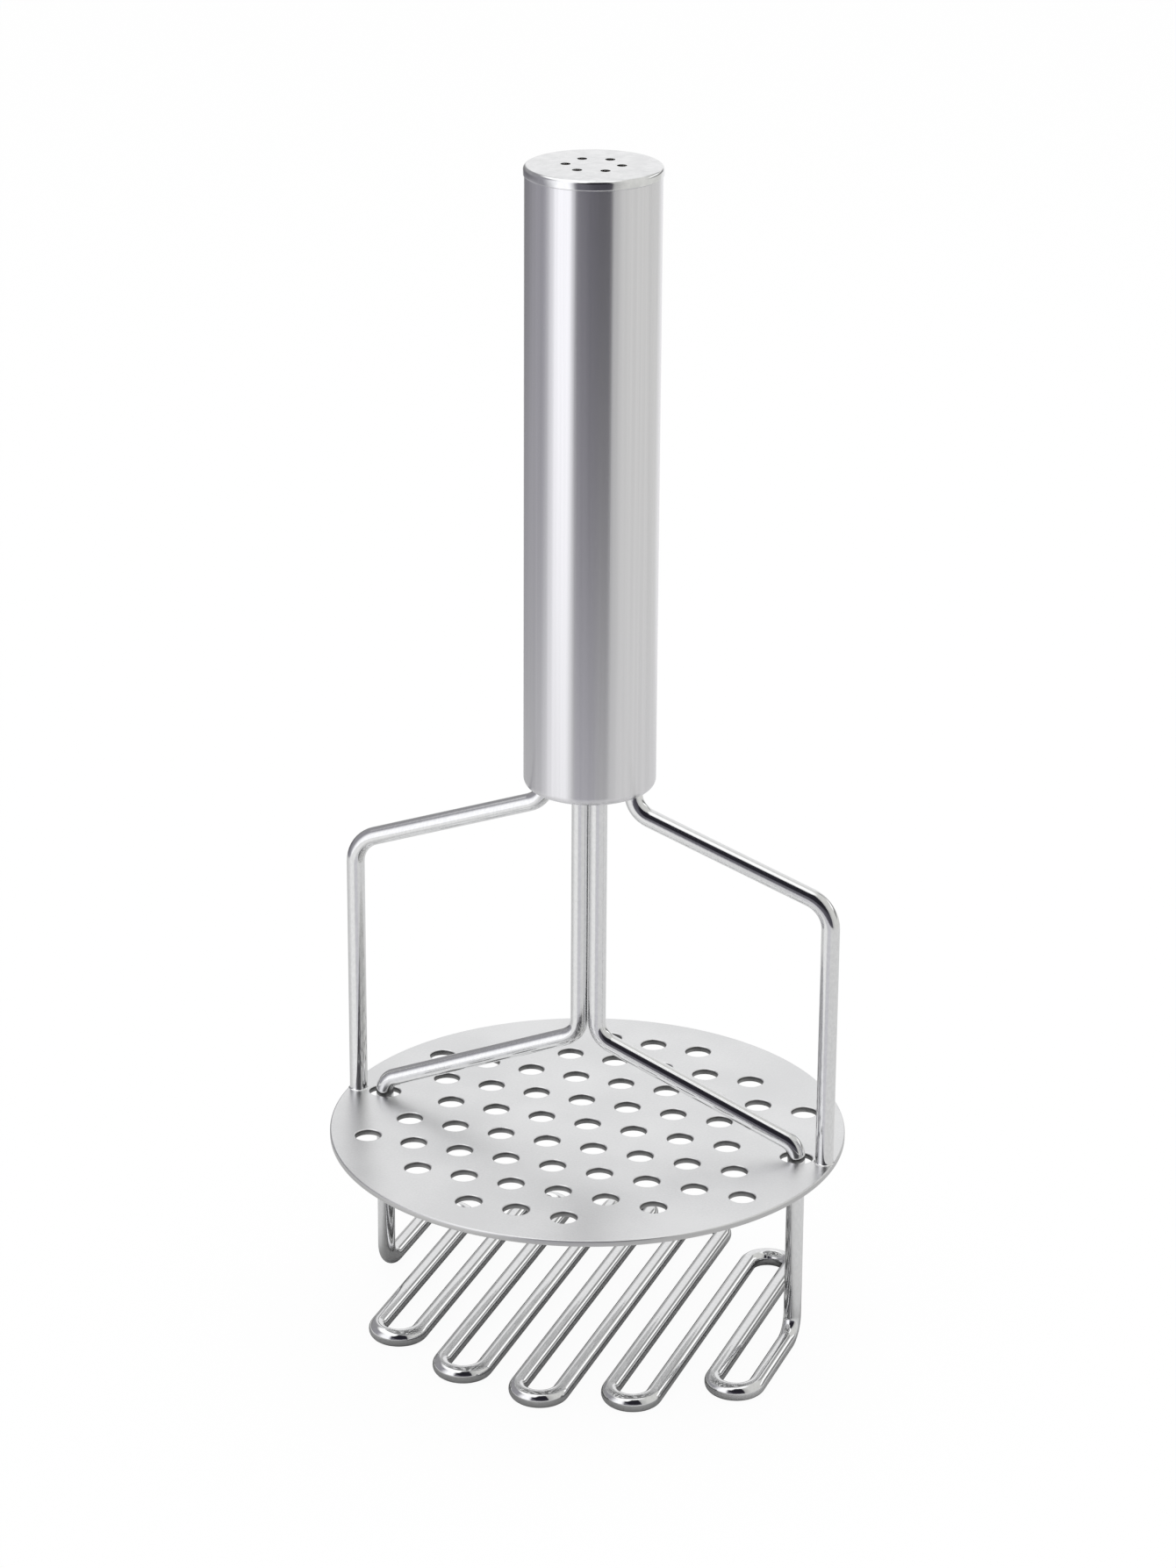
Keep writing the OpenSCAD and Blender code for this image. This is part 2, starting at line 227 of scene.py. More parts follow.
def makeSatinPlate():
    s = satinPlate
    low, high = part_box("ricer_plate")
    material, shader, coords = newMaterial("satinPlate", s["constants"])
    grain = coords.noise(**s["grain"])
    clouds = coords.noise(**s["clouds"])
    upright = coords.node("ShaderNodeNewGeometry", None, None, "Normal").part("Z")
    upright = upright.maths("ABSOLUTE", upright)
    reach = coords.fromAxis()
    holeWalls = upright.fall(*s["wallUpright"]) * reach.maths("LESS_THAN", reach, high.y - s["rimWidth"])
    # painted shade: the walls of the holes and slots are coloured dark, darker towards the plate's top
    cut = coords.part("Z").rise(low.z, high.z).blend(s["wallShadeFoot"], s["wallShadeTop"])
    tone = grain * (1 - s["cloudShare"]) + clouds * s["cloudShare"]
    sheet = tone.rise(*s["contrast"]).blend(s["dark"], s["light"])
    # painted shade: the rim's side is coloured darker than the plate's top
    sheet = upright.fall(*s["rimUpright"]).blend(sheet, s["rimSideShade"])
    connect(shader, {
        "Base Color": holeWalls.blend(sheet, cut),
        "Roughness": grain.stray(s["roughness"], s["roughnessSpread"]) + holeWalls * s["cutRoughness"],
        "Normal": grain.bump(s["relief"], s["depth"]),
    })
    return material


polishedCap = {
    "constants": {"Metallic": 1.0},
    "light": grey(0.87, -0.002),
    "dark": grey(0.765, -0.004),
    "contrast": (0.3, 0.7),
    "roughness": 0.13,
    "roughnessSpread": 0.06,
    "swirl": {"stretch": (420.0, 420.0, 420.0), "detail": 3.0, "rough": 0.55},
    "relief": 0.15,
    "depth": 0.02 * mm,
}


def makePolishedCap():
    s = polishedCap
    material, shader, coords = newMaterial("polishedCap", s["constants"])
    dress(shader, s, coords.noise(**s["swirl"]))
    return material


turnedSteel = {
    "constants": {"Metallic": 1.0},
    "light": grey(0.62),
    "dark": grey(0.52),
    "contrast": (0.35, 0.65),
    "roughness": 0.34,
    "roughnessSpread": 0.1,
    "cuts": {"stretch": (5200.0, 1.0, 1.0), "detail": 1.0, "rough": 0.5},
    "relief": 0.3,
    "depth": 0.015 * mm,
}


def makeTurnedSteel():
    s = turnedSteel
    material, shader, coords = newMaterial("turnedSteel", s["constants"])
    rings = coords.node("ShaderNodeCombineXYZ", None, {0: coords.fromAxis()})
    dress(shader, s, rings.noise(**s["cuts"]))
    return material


springWire = {
    "constants": {"Metallic": 1.0},
    "light": grey(0.56),
    "dark": grey(0.44, 0.008),
    "contrast": (0.3, 0.7),
    "roughness": 0.30,
    "roughnessSpread": 0.16,
    "drawn": {"stretch": (700.0, 700.0, 700.0), "detail": 4.0, "rough": 0.6},
}


def makeSpringWire():
    s = springWire
    material, shader, coords = newMaterial("springWire", s["constants"])
    drawn = coords.noise(**s["drawn"])
    connect(shader, {
        "Base Color": drawn.rise(*s["contrast"]).blend(s["dark"], s["light"]),
        "Roughness": drawn.stray(s["roughness"], s["roughnessSpread"]),
    })
    return material


nylon = {
    "constants": {"Specular IOR Level": 0.4},
    "light": grey(0.86, 0.03),
    "dark": grey(0.81, 0.04),
    "contrast": (0.3, 0.7),
    "roughness": 0.42,
    "roughnessSpread": 0.12,
    "grain": {"stretch": (900.0, 900.0, 900.0), "detail": 3.0, "rough": 0.5},
    "relief": 0.2,
    "depth": 0.02 * mm,
}


def makeNylon():
    s = nylon
    material, shader, coords = newMaterial("nylon", s["constants"])
    dress(shader, s, coords.noise(**s["grain"]))
    return material


blackRubber = {
    "constants": {"Specular IOR Level": 0.3},
    "light": grey(0.045),
    "dark": grey(0.02),
    "contrast": (0.3, 0.7),
    "roughness": 0.72,
    "roughnessSpread": 0.2,
    "grain": {"stretch": (1500.0, 1500.0, 1500.0), "detail": 2.0, "rough": 0.6},
    "relief": 0.4,
    "depth": 0.03 * mm,
}


def makeBlackRubber():
    s = blackRubber
    material, shader, coords = newMaterial("blackRubber", s["constants"])
    dress(shader, s, coords.noise(**s["grain"]))
    return material


finishes = {
    "brushed_tube": makeBrushedTube(),
    "polished_wire": makePolishedWire(),
    "satin_plate": makeSatinPlate(),
    "polished_cap": makePolishedCap(),
    "turned_steel": makeTurnedSteel(),
    "spring_wire": makeSpringWire(),
    "nylon": makeNylon(),
    "black_rubber": makeBlackRubber(),
}
print("materials:", len(finishes))


# Building pieces

building = {
    "merge": 0.0005 * mm,
    "sharpAngle": 35.0,
    "bendStep": 7.5,  # degrees of a bend between two rings of a wire
}


def newPiece(name, bm, body, slotName, node, sharpAngle=building["sharpAngle"]):
    bmesh.ops.remove_doubles(bm, verts=bm.verts[:], dist=building["merge"])
    bmesh.ops.recalc_face_normals(bm, faces=bm.faces[:])
    for face in bm.faces:
        face.smooth = True
    mesh = bpy.data.meshes.new(name)
    bm.to_mesh(mesh)
    bm.free()
    mesh.set_sharp_from_angle(angle=math.radians(sharpAngle))
    mesh.materials.append(finishes[slotName])
    piece = bpy.data.objects.new(name, mesh)
    bpy.context.scene.collection.objects.link(piece)
    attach(piece, body)
    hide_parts(node)
    print("piece:", name, len(mesh.polygons), "faces")
    return piece


def arc(centreX, centreZ, radius, fromAngle, toAngle, steps):
    angles = [math.radians(fromAngle + (toAngle - fromAngle) * i / steps) for i in range(steps + 1)]
    return [(centreX + radius * math.cos(a), centreZ + radius * math.sin(a)) for a in angles]


def lathe(bm, outline, steps, closed=True):
    verts = [bm.verts.new((x, 0.0, z)) for x, z in outline]
    edges = [bm.edges.new(pair) for pair in zip(verts, verts[1:])]
    if closed:
        edges.append(bm.edges.new((verts[-1], verts[0])))
    bmesh.ops.spin(bm, geom=verts + edges, cent=(0, 0, 0), axis=(0, 0, 1), angle=math.tau, steps=steps,
                   use_merge=True)


def startWire(bm, at, along, thickness, sides):
    at, along = Vector(at), Vector(along)
    ring = bmesh.ops.create_circle(bm, segments=sides, radius=thickness / 2)["verts"]
    aim = Vector((0, 0, 1)).rotation_difference(along).to_matrix().to_4x4()
    bmesh.ops.transform(bm, matrix=Matrix.Translation(at) @ aim, verts=ring)
    return {"at": at, "along": along, "edges": bm.edges[:], "verts": ring}


def growWire(bm, wire):
    made = bmesh.ops.extrude_edge_only(bm, edges=wire["edges"])["geom"]
    wire["verts"] = [g for g in made if isinstance(g, bmesh.types.BMVert)]
    fresh = set(wire["verts"])
    wire["edges"] = [g for g in made if isinstance(g, bmesh.types.BMEdge) and set(g.verts) <= fresh]


def runWire(bm, wire, length):
    growWire(bm, wire)
    bmesh.ops.translate(bm, vec=wire["along"] * length, verts=wire["verts"])
    wire["at"] += wire["along"] * length


def turnWire(bm, wire, side, angle, radius):  # bends the wire towards side
    side = Vector(side)
    axis = wire["along"].cross(side)
    centre = wire["at"] + side * radius
    steps = math.ceil(angle / building["bendStep"])
    turn = Matrix.Rotation(math.radians(angle) / steps, 3, axis)
    for step in range(steps):
        growWire(bm, wire)
        bmesh.ops.rotate(bm, cent=centre, matrix=turn, verts=wire["verts"])
        wire["at"] = centre + turn @ (wire["at"] - centre)
        wire["along"] = turn @ wire["along"]


def bendWire(bm, wire, newAlong, radius):
    newAlong = Vector(newAlong).normalized()
    side = newAlong - wire["along"] * wire["along"].dot(newAlong)
    turnWire(bm, wire, side.normalized(), math.degrees(wire["along"].angle(newAlong)), radius)


def endWire(bm, wire, chamfer):  # a chamfered, closed end
    growWire(bm, wire)
    bmesh.ops.translate(bm, vec=wire["along"] * chamfer, verts=wire["verts"])
    wire["at"] += wire["along"] * chamfer
    shrink = 1 - chamfer / (wire["verts"][0].co - wire["at"]).length
    bmesh.ops.scale(bm, vec=(shrink,) * 3, space=Matrix.Translation(-wire["at"]), verts=wire["verts"])
    bmesh.ops.contextual_create(bm, geom=wire["edges"])


def trim(radius, angle):  # straight wire that a bend takes on each side of its corner
    return radius * math.tan(math.radians(angle) / 2)


# Handle

handle = {
    "wall": 1.0 * mm,
    "rimRoll": 2.0 * mm,
    "topEdge": 0.15 * mm,
    "sides": 192,
    "rimSteps": 12,
    "rimInsideSteps": 8,
}


def makeHandleTube():
    s = handle
    low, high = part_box("handle_tube")
    radius, bottom, top = high.x, low.z, high.z
    rimX, rimZ = radius - s["rimRoll"], bottom + s["rimRoll"]
    outline = [(rimX, bottom + s["wall"]), *arc(rimX, rimZ, s["rimRoll"], -90, 0, s["rimSteps"]),
               (radius, top - s["topEdge"]), (radius - s["topEdge"], top), (radius - s["wall"], top),
               *arc(rimX, rimZ, s["rimRoll"] - s["wall"], 0, -90, s["rimInsideSteps"])[:-1]]
    bm = bmesh.new()
    lathe(bm, outline, s["sides"])
    newPiece("handleTube", bm, "handle", "brushed_tube", "handle_tube")


cap = {
    "wall": 1.2 * mm,
    "edge": 0.9 * mm,
    "skirt": 9.0 * mm,
    "skirtRadius": 13.98 * mm,
    "seamEdge": 0.12 * mm,
    "ventRing": 6.1 * mm,
    "vent": 1.1 * mm,
    "ventOverrun": 1.2 * mm,
    "ventCount": 6,
    "ventTurn": 14.0,
    "sides": 192,
    "edgeSteps": 10,
    "seamSteps": 4,
    "ventSides": 32,
}


def cutWith(piece, cutter):  # takes the cutter's shape out of the piece, and removes the cutter
    cutObject = bpy.data.objects.new("cutter", cutter)
    bpy.context.scene.collection.objects.link(cutObject)
    modifier = piece.modifiers.new("cut", "BOOLEAN")
    modifier.operation = "DIFFERENCE"
    modifier.solver = "EXACT"
    modifier.object = cutObject
    view = bpy.context.evaluated_depsgraph_get()
    cut = bpy.data.meshes.new_from_object(piece.evaluated_get(view))
    piece.modifiers.clear()
    piece.data = cut
    bpy.data.objects.remove(cutObject)


def makeTopCap():
    s = cap
    low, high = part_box("top_cap")
    radius, top = high.x, high.z
    seam = low.z + s["skirt"]
    hollow = s["skirtRadius"] - s["wall"]
    outline = [(0.0, top), *arc(radius - s["edge"], top - s["edge"], s["edge"], 90, 0, s["edgeSteps"]),
               *arc(radius - s["seamEdge"], seam + s["seamEdge"], s["seamEdge"], 0, -90, s["seamSteps"]),
               (s["skirtRadius"], seam), (s["skirtRadius"], low.z), (hollow, low.z),
               (hollow, top - s["wall"]), (0.0, top - s["wall"])]
    bm = bmesh.new()
    lathe(bm, outline, s["sides"], closed=False)
    piece = newPiece("topCap", bm, "handle", "polished_cap", "top_cap")

    bm = bmesh.new()
    for i in range(s["ventCount"]):
        around = math.radians(s["ventTurn"] + 360 * i / s["ventCount"])
        place = (s["ventRing"] * math.cos(around), s["ventRing"] * math.sin(around), top)
        bmesh.ops.create_cone(bm, cap_ends=True, segments=s["ventSides"], radius1=s["vent"],
                              radius2=s["vent"], depth=2 * (s["wall"] + s["ventOverrun"]),
                              matrix=Matrix.Translation(place))
    cutter = bpy.data.meshes.new("vents")
    bm.to_mesh(cutter)
    bm.free()
    cutWith(piece, cutter)
    piece.data.set_sharp_from_angle(angle=math.radians(building["sharpAngle"]))


# Ricer plate

plate = {
    "holeRadius": 3.0 * mm,
    "pitch": 11.4 * mm,
    "rowPitch": 11.8 * mm,
    "rimLand": 5.0 * mm,
    "slotLength": 7.5 * mm,
    "slotWidth": 6.0 * mm,
    "slotX": 51.0 * mm,
    "slotWeb": 0.85 * mm,
    "upperEdge": 0.3 * mm,
    "lowerEdge": 0.12 * mm,
    "edgeSteps": 3,
    "cornerAngle": 60.0,
    "levelTolerance": 0.01 * mm,
    "flatNormal": 0.999,
    "rimSides": 256,
    "holeSides": 48,
    "slotEndSteps": 16,
}


def holePlaces(radius):
    s = plate
    rows = int(radius / s["rowPitch"])
    columns = math.ceil(radius / s["pitch"])
    for j in range(-rows, rows + 1):
        for i in range(-columns, columns + 1):
            x, y = (i + abs(j) % 2 / 2) * s["pitch"], j * s["rowPitch"]
            clearOfSlot = (abs(y) >= s["slotWidth"] / 2 + s["holeRadius"] + s["slotWeb"]
                           or abs(x) + s["holeRadius"] <= s["slotX"] - s["slotLength"] / 2 - s["slotWeb"])
            if math.hypot(x, y) + s["holeRadius"] <= radius - s["rimLand"] and clearOfSlot:
                yield x, y


def slotOutline(bm, x):
    s = plate
    radius = s["slotWidth"] / 2
    straight = s["slotLength"] / 2 - radius
    ends = (arc(x + straight, 0, radius, -90, 90, s["slotEndSteps"])
            + arc(x - straight, 0, radius, 90, 270, s["slotEndSteps"]))
    verts = [bm.verts.new((px, py, 0)) for px, py in ends]
    for pair in zip(verts, verts[1:] + verts[:1]):
        bm.edges.new(pair)


def makeRicerPlate():
    s = plate
    low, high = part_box("ricer_plate")
    radius = high.y
    bm = bmesh.new()
    bmesh.ops.create_circle(bm, segments=s["rimSides"], radius=radius)
    for x, y in holePlaces(radius):
        bmesh.ops.create_circle(bm, segments=s["holeSides"], radius=s["holeRadius"],
                                matrix=Matrix.Translation((x, y, 0)))
    for side in (-1, 1):
        slotOutline(bm, side * s["slotX"])
    bmesh.ops.triangle_fill(bm, use_beauty=True, edges=bm.edges[:])
    bmesh.ops.translate(bm, vec=(0, 0, low.z), verts=bm.verts[:])
    made = bmesh.ops.extrude_face_region(bm, geom=bm.faces[:])["geom"]
    raised = [g for g in made if isinstance(g, bmesh.types.BMVert)]
    bmesh.ops.translate(bm, vec=(0, 0, high.z - low.z), verts=raised)
    bmesh.ops.recalc_face_normals(bm, faces=bm.faces[:])
    for height, edge in ((high.z, s["upperEdge"]), (low.z, s["lowerEdge"])):
        corners = [e for e in bm.edges if e.calc_face_angle() > math.radians(s["cornerAngle"])
                   and all(abs(v.co.z - height) < s["levelTolerance"] for v in e.verts)]
        bmesh.ops.bevel(bm, geom=corners, offset=edge, segments=s["edgeSteps"], profile=0.5, affect="EDGES",
                        material=-1)
    piece = newPiece("ricerPlate", bm, "handle", "satin_plate", "ricer_plate", s["cornerAngle"])
    for face in piece.data.polygons:  # the flat sides stay flat, only the edges and walls are smooth
        face.use_smooth = abs(face.normal.z) < s["flatNormal"]


# Frame wires

frameWire = {
    "thickness": 4.2 * mm,
    "x": 57.7 * mm,
    "neckX": 10.5 * mm,
    "shoulder": 63.2 * mm,
    "slope": 19.7,
    "shoulderBend": 7.5 * mm,
    "neckBend": 6.0 * mm,
    "weld": 0.4 * mm,
    "rimGap": 0.05 * mm,
    "chamfer": 0.3 * mm,
    "sides": 40,
    "weldSteps": 6,
}


def makeFrameWire(name, node, side):
    s = frameWire
    low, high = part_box(node)
    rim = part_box("ricer_plate")[1].x - s["rimGap"]
    lean = 90 - s["slope"]
    slope = math.radians(s["slope"])
    foot = low.z
    shoulderLength = (s["x"] - s["neckX"]) / math.cos(slope)
    neckZ = foot + s["shoulder"] + (s["x"] - s["neckX"]) * math.tan(slope)
    bm = bmesh.new()
    wire = startWire(bm, (side * s["x"], 0, foot), (0, 0, 1), s["thickness"] + 2 * s["weld"], s["sides"])
    for v in wire["verts"]:  # the weld stops at the plate's rim
        v.co.x = max(-rim, min(rim, v.co.x))
    for step in range(1, s["weldSteps"] + 1):  # the weld's hollow fillet
        angle = math.radians(90 * step / s["weldSteps"])
        reach = s["thickness"] / 2 + s["weld"] * (1 - math.sin(angle))
        growWire(bm, wire)
        for v in wire["verts"]:
            out = v.co - Vector((side * s["x"], 0, v.co.z))
            v.co -= out * max(0.0, 1 - reach / out.length)
            v.co.z = foot + s["weld"] * (1 - math.cos(angle))
    wire["at"].z = foot + s["weld"]
    runWire(bm, wire, s["shoulder"] - s["weld"] - trim(s["shoulderBend"], lean))
    bendWire(bm, wire, (-side * math.cos(slope), 0, math.sin(slope)), s["shoulderBend"])
    runWire(bm, wire, shoulderLength - trim(s["shoulderBend"], lean) - trim(s["neckBend"], lean))
    bendWire(bm, wire, (0, 0, 1), s["neckBend"])
    runWire(bm, wire, high.z - neckZ - trim(s["neckBend"], lean) - s["chamfer"])
    endWire(bm, wire, s["chamfer"])
    bmesh.ops.holes_fill(bm, edges=bm.edges[:])
    newPiece(name, bm, "handle", "polished_wire", node)


# Mashing wire

mashingWire = {
    "thickness": 4.1 * mm,
    "strandGap": 0.2 * mm,
    "forkZ": 70.2 * mm,
    "armSlope": 22.0,
    "legX": 51.0 * mm,
    "forkBend": 5.5 * mm,
    "slotBend": 4.0 * mm,
    "footBend": 5.0 * mm,
    "reach": 50.5 * mm,
    "reachShares": (1, 0.91, 0.89, 0.69, 0.63),  # of the turns, from the middle outwards
    "chamfer": 0.3 * mm,
    "sides": 32,
}


def makeMashingWire():
    s = mashingWire
    low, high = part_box("mashing_wire")
    radius = s["thickness"] / 2
    strandX = radius + s["strandGap"] / 2
    slope = math.radians(s["armSlope"])
    lean = 90 - s["armSlope"]
    turnCount = 2 * len(s["reachShares"])
    turnRadius = s["legX"] / turnCount
    armLength = (s["legX"] - strandX) / math.cos(slope)
    armEndZ = s["forkZ"] - (s["legX"] - strandX) * math.tan(slope)
    strandRun = high.z - s["forkZ"] - trim(s["forkBend"], lean) - s["chamfer"]
    armRun = armLength - trim(s["forkBend"], lean) - trim(s["slotBend"], lean)
    legRun = armEndZ - radius - s["footBend"] - trim(s["slotBend"], lean)

    def turnReach(k):  # how far from the middle turn k starts
        rank = int(abs(k - (turnCount - 1) / 2))
        return s["reach"] * s["reachShares"][rank] - turnRadius

    bm = bmesh.new()
    wire = startWire(bm, (-strandX, 0, high.z - s["chamfer"]), (0, 0, -1), s["thickness"], s["sides"])
    runWire(bm, wire, strandRun)
    bendWire(bm, wire, (-math.cos(slope), 0, -math.sin(slope)), s["forkBend"])
    runWire(bm, wire, armRun)
    bendWire(bm, wire, (0, 0, -1), s["slotBend"])
    runWire(bm, wire, legRun)
    bendWire(bm, wire, (0, 1, 0), s["footBend"])
    runWire(bm, wire, turnReach(0) - s["footBend"])
    for k in range(turnCount):
        turnWire(bm, wire, (1, 0, 0), 180, turnRadius)
        pastMiddle = turnReach(k + 1) if k < turnCount - 1 else -s["footBend"]
        runWire(bm, wire, turnReach(k) + pastMiddle)
    bendWire(bm, wire, (0, 0, 1), s["footBend"])
    runWire(bm, wire, legRun)
    bendWire(bm, wire, (-math.cos(slope), 0, math.sin(slope)), s["slotBend"])
    runWire(bm, wire, armRun)
    bendWire(bm, wire, (0, 0, 1), s["forkBend"])
    runWire(bm, wire, strandRun)
    endWire(bm, wire, s["chamfer"])
    bmesh.ops.holes_fill(bm, edges=bm.edges[:])
    newPiece("mashingWire", bm, "head", "polished_wire", "mashing_wire")


# Spring

spring = {
    "thickness": 1.6 * mm,
    "freeTurns": 16,
    "endTurns": 1,
    "endGap": 0.5 * mm,
    "travel": 40.0 * mm,
    "sides": 16,
    "stepsPerTurn": 32,
}


def makeSpring():
    s = spring
    low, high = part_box("compression_spring")
    length = high.z - low.z
    radius = high.x - s["thickness"] / 2
    endPitch = s["thickness"] + s["endGap"]
    openPitch = (length - s["thickness"] - 2 * s["endTurns"] * endPitch) / s["freeTurns"]
    bm = bmesh.new()
    ring = bmesh.ops.create_circle(bm, segments=s["sides"], radius=s["thickness"] / 2,
                                   matrix=Matrix.Translation((radius, 0, low.z + s["thickness"] / 2))
                                   @ Matrix.Rotation(math.pi / 2, 4, "X"))
    ends = bm.edges[:]
    bmesh.ops.contextual_create(bm, geom=ends)
    front = ring["verts"] + ends
    for pitch, turns in ((endPitch, s["endTurns"]), (openPitch, s["freeTurns"]), (endPitch, s["endTurns"])):
        climb = (0, 0, pitch / s["stepsPerTurn"])
        made = bmesh.ops.spin(bm, geom=front, cent=(0, 0, 0), axis=(0, 0, 1), dvec=climb,
                              angle=turns * math.tau, steps=turns * s["stepsPerTurn"])
        front = [g for g in made["geom_last"] if not isinstance(g, bmesh.types.BMFace)]
    bmesh.ops.contextual_create(bm, geom=[g for g in front if isinstance(g, bmesh.types.BMEdge)])
    piece = newPiece("compressionSpring", bm, "head", "spring_wire", "compression_spring")
    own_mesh(piece)


makeHandleTube()
makeTopCap()
makeRicerPlate()
makeFrameWire("leftFrameWire", "left_frame_wire", -1)
makeFrameWire("rightFrameWire", "right_frame_wire", 1)
makeMashingWire()
makeSpring()


# Inner pieces keep their own meshes

innerFinish = {
    "base_plug": "turned_steel",
    "crimp_sleeve": "turned_steel",
    "retaining_clip": "spring_wire",
    "guide_bush": "nylon",
    "plunger": "nylon",
    "spring_seat": "nylon",
    "bump_stop": "black_rubber",
}
for name, slotName in innerFinish.items():
    nodes[name].data.materials.clear()
    nodes[name].data.materials.append(finishes[slotName])
print("inner pieces:", len(innerFinish))


# Studio
# Bearings are degrees round the object, 0 towards the photo's camera and positive to the right. Heights are
# degrees above the horizon. A pair of angles is a soft edge, and two pairs bound an area.

studio = {
    "photoBearing": 19.67,
    "lighting": grey(0.86),  # what lights matt surfaces
    "seen": grey(1.0),  # what the camera sees behind the object
    "rightEdge": (0.52, 0.52, 0.515, 1.0),
    "rightWall": (0.73, 0.73, 0.71, 1.0),
    "rightChange": (30.0, 64.0),
    "backdrop": (0.93, 0.93, 0.935, 1.0),
    "backdropLeft": (-176.0, -160.0),
    "backdropRight": (128.0, 160.0),
    "leftBearing": ((-173.0, -157.0), (-68.0, -52.0)),
    "leftWall": (0.335, 0.33, 0.36, 1.0),
    "leftWallStart": (-135.0, -92.0),
    "leftFoot": (0.70, 0.695, 0.73, 1.0),
    "leftCorner": (0.18, 0.177, 0.192, 1.0),
    "leftCornerStart": (-26.0, -12.0),
    "leftTop": (0.33, 0.327, 0.342, 1.0),
    "leftTopStart": (-2.0, 10.0),
    "farSide": {
        "footLeft": {"colour": grey(0.24), "bearing": ((-174.0, -160.0), (-150.0, -130.0)),
                     "height": ((-4.0, -1.0), (9.0, 13.0))},
        "footRight": {"colour": grey(0.24), "bearing": ((95.0, 115.0), (148.0, 164.0)),
                      "height": ((-4.0, -1.0), (9.0, 13.0))},
        "doorway": {"colour": grey(0.34), "bearing": ((133.0, 139.0), (144.0, 150.0)),
                    "height": ((16.0, 22.0), (36.0, 44.0))},
        "skyline": {"colour": grey(1.35), "bearing": ((102.0, 108.0), (133.0, 139.0)),
                    "height": ((11.0, 14.0), (20.0, 24.0))},
    },
    "softBox": (1.24, 1.24, 1.27, 1.0),
    "softBoxBearing": ((-92.0, -58.0), (-31.0, -27.0)),
    "card": (0.021, 0.02, 0.027, 1.0),
    "cardBearing": ((-41.5, -26.0), (31.0, 33.5)),
    "cardFootLeft": (0.156, 0.152, 0.176, 1.0),
    "cardFootRight": (0.077, 0.074, 0.09, 1.0),
    "cardFootChange": (-28.0, 12.0),
    "cardFootEnd": (4.0, 16.0),
    "cardFootLift": 12.0,  # how much higher the foot ends on the left
    "cardFootLiftEnd": (-26.0, -8.0),
    "ceiling": grey(1.28),
    "ceilingStart": (60.0, 72.0),
    "ceilingDrop": 22.0,  # how much lower the ceiling starts on the left
    "ceilingDropEnd": (-24.0, -2.0),
    "zenith": grey(0.90),
    "zenithStart": (76.0, 84.0),
}


def bearingOf(place):  # of a place or a direction, as seen from the origin
    turn = math.radians(studio["photoBearing"])
    x, y = place.part("X"), place.part("Y")
    front = x * math.sin(turn) - y * math.cos(turn)
    right = x * math.cos(turn) + y * math.sin(turn)
    return front.maths("ARCTAN2", right, front) * math.degrees(1)


def makeWorld():
    s = studio
    world = bpy.data.worlds.new("studio")
    world.use_nodes = True
    bpy.context.scene.world = world
    tree = world.node_tree
    tree.nodes.clear()
    start = Signal(tree)
    direction = start.node("ShaderNodeTexCoord", None, None, "Generated")
    bearing = bearingOf(direction)
    height = direction.maths("ARCSINE", direction.part("Z")) * math.degrees(1)

    light = bearing.rise(*s["rightChange"]).blend(s["rightEdge"], s["rightWall"])
    behind = bearing.fall(*s["backdropLeft"]) + bearing.rise(*s["backdropRight"])
    light = behind.blend(light, s["backdrop"])
    left = height.rise(*s["leftCornerStart"]).blend(s["leftFoot"], s["leftCorner"])
    left = height.rise(*s["leftTopStart"]).blend(left, s["leftTop"])
    left = bearing.rise(*s["leftWallStart"]).blend(left, s["leftWall"])
    light = bearing.between(*s["leftBearing"]).blend(light, left)
    for area in s["farSide"].values():
        inside = bearing.between(*area["bearing"]) * height.between(*area["height"])
        light = inside.blend(light, area["colour"])
    light = bearing.between(*s["softBoxBearing"]).blend(light, s["softBox"])
    card = bearing.rise(*s["cardFootChange"]).blend(s["cardFootLeft"], s["cardFootRight"])
    overFoot = height - s["cardFootLift"] * bearing.fall(*s["cardFootLiftEnd"])
    card = overFoot.rise(*s["cardFootEnd"]).blend(card, s["card"])
    light = bearing.between(*s["cardBearing"]).blend(light, card)
    underCeiling = height + s["ceilingDrop"] * bearing.fall(*s["ceilingDropEnd"])
    light = underCeiling.rise(*s["ceilingStart"]).blend(light, s["ceiling"])
    light = height.rise(*s["zenithStart"]).blend(light, s["zenith"])
    isDiffuse = start.node("ShaderNodeLightPath", None, None, "Is Diffuse Ray")
    isCamera = start.node("ShaderNodeLightPath", None, None, "Is Camera Ray")
    light = isCamera.blend(isDiffuse.blend(light, s["lighting"]), s["seen"])
    background = start.node("ShaderNodeBackground", None, {"Color": light})
    output = tree.nodes.new("ShaderNodeOutputWorld")
    tree.links.new(background.socket, output.inputs[0])


paperFloor = {
    "size": 8.0,
    "paper": grey(0.74),
    "seen": grey(1.02),  # what the camera sees of the paper, apart from shadows
    "seenShare": 0.93,
    "shade": grey(0.40),  # the paper under the head, as the metal mirrors it
    "shadeEnd": (52.0 * mm, 75.0 * mm),
    "tableStart": (100.0 * mm, 170.0 * mm),
    "tableEnd": (378.0 * mm, 462.0 * mm),
    "table": {  # painted light and shade on the paper further out, as the metal mirrors it
        "bright": {"colour": grey(0.94), "bearing": ((-100.0, -70.0), (-41.0, -27.0))},
        "dim": {"colour": (0.66, 0.655, 0.69, 1.0), "bearing": ((-30.0, -24.0), (0.0, 20.0))},
        "left": {"colour": grey(0.66), "bearing": ((-175.0, -155.0), (-118.0, -98.0))},
    },
}


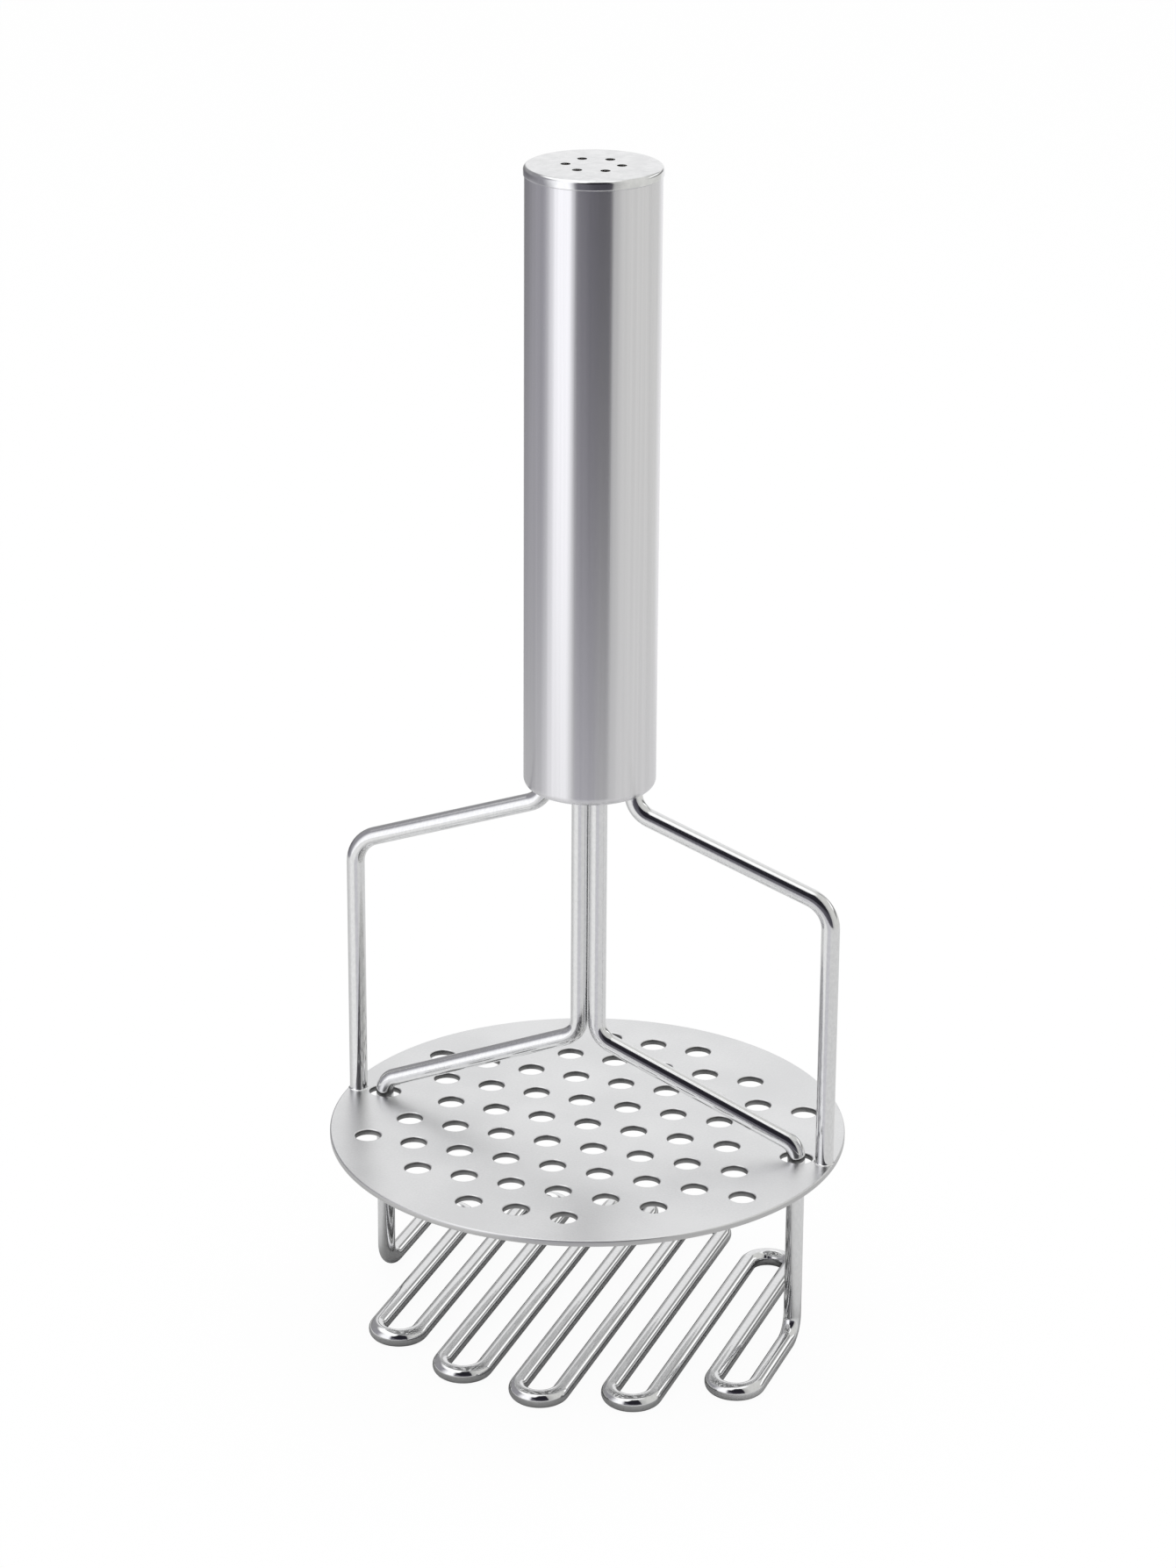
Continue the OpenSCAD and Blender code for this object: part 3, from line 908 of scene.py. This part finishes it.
def makePalePaper():
    s = paperFloor
    material = bpy.data.materials.new("palePaper")
    material.use_nodes = True
    tree = material.node_tree
    tree.nodes.clear()
    start = Signal(tree)
    coords = start.node("ShaderNodeTexCoord", None, None, "Object")
    reach = coords.fromAxis()
    bearing = bearingOf(coords)
    isCamera = start.node("ShaderNodeLightPath", None, None, "Is Camera Ray")
    isGlossy = start.node("ShaderNodeLightPath", None, None, "Is Glossy Ray")
    backFace = start.node("ShaderNodeNewGeometry", None, None, "Backfacing")

    tone = s["paper"]
    # painted light and shade on the paper for reflections: a painted pool of light towards the soft box, a
    # painted shadow in front, and a darker stretch on the left
    for area in s["table"].values():
        tone = bearing.between(*area["bearing"]).blend(tone, area["colour"])
    paper = start.node("ShaderNodeBsdfDiffuse", None, {"Color": s["paper"]})
    shade = start.node("ShaderNodeBsdfDiffuse", None, {"Color": s["shade"]})
    table = start.node("ShaderNodeEmission", None, {"Color": tone})
    glow = start.node("ShaderNodeEmission", None, {"Color": s["seen"]})
    clear = start.node("ShaderNodeBsdfTransparent")
    under = (isGlossy * reach.fall(*s["shadeEnd"])).blendShaders(paper, shade)
    near = (isGlossy * reach.rise(*s["tableStart"])).blendShaders(under, table)
    lit = (isCamera * s["seenShare"]).blendShaders(near, glow)
    beyond = isGlossy * reach.rise(*s["tableEnd"])
    seen = beyond.maths("MAXIMUM", beyond, backFace).blendShaders(lit, clear)
    output = tree.nodes.new("ShaderNodeOutputMaterial")
    tree.links.new(seen.socket, output.inputs[0])
    return material


def makeFloor():
    bm = bmesh.new()
    bmesh.ops.create_grid(bm, x_segments=1, y_segments=1, size=paperFloor["size"] / 2)
    mesh = bpy.data.meshes.new("floor")
    bm.to_mesh(mesh)
    bm.free()
    mesh.materials.append(makePalePaper())
    floor = bpy.data.objects.new("floor", mesh)
    bpy.context.scene.collection.objects.link(floor)


lamp = {"size": 0.9, "height": 1.1, "watts": 2.6, "back": 0.35}


def makeLamp():
    s = lamp
    data = bpy.data.lights.new("overhead", "AREA")
    data.shape = "SQUARE"
    data.size = s["size"]
    data.energy = s["watts"]
    lampObject = bpy.data.objects.new("overhead", data)
    lampObject.location = (0, s["back"], s["height"])
    lampObject.rotation_euler = (math.atan2(-s["back"], s["height"]), 0, 0)
    lampObject.visible_glossy = False  # the metal shows the studio's own pattern
    bpy.context.scene.collection.objects.link(lampObject)


camera = {
    "azimuth": 19.671,
    "elevation": 21.252,
    "roll": 0.369,
    "distance": 1005.0 * mm,
    "targetZ": 132.44 * mm,
    "sideways": -0.38 * mm,
    "lens": 101.88,
    "sensor": 36.0,
    "near": 0.05,
    "far": 50.0,
}


def makeCamera():
    s = camera
    data = bpy.data.cameras.new("camera")
    data.sensor_fit = "VERTICAL"
    data.sensor_height = s["sensor"]
    data.lens = s["lens"]
    data.clip_start = s["near"]
    data.clip_end = s["far"]
    turn = (Matrix.Rotation(math.radians(s["azimuth"]), 4, "Z")
            @ Matrix.Rotation(math.radians(90 - s["elevation"]), 4, "X"))
    place = turn @ Vector((s["sideways"], 0, s["distance"])) + Vector((0, 0, s["targetZ"]))
    cameraObject = bpy.data.objects.new("camera", data)
    cameraObject.matrix_world = (Matrix.Translation(place) @ turn
                                 @ Matrix.Rotation(math.radians(s["roll"]), 4, "Z"))
    bpy.context.scene.collection.objects.link(cameraObject)
    bpy.context.scene.camera = cameraObject


makeWorld()
makeFloor()
makeLamp()
makeCamera()
bpy.context.scene.view_settings.view_transform = "Standard"
print("studio: world, floor, lamp and camera")
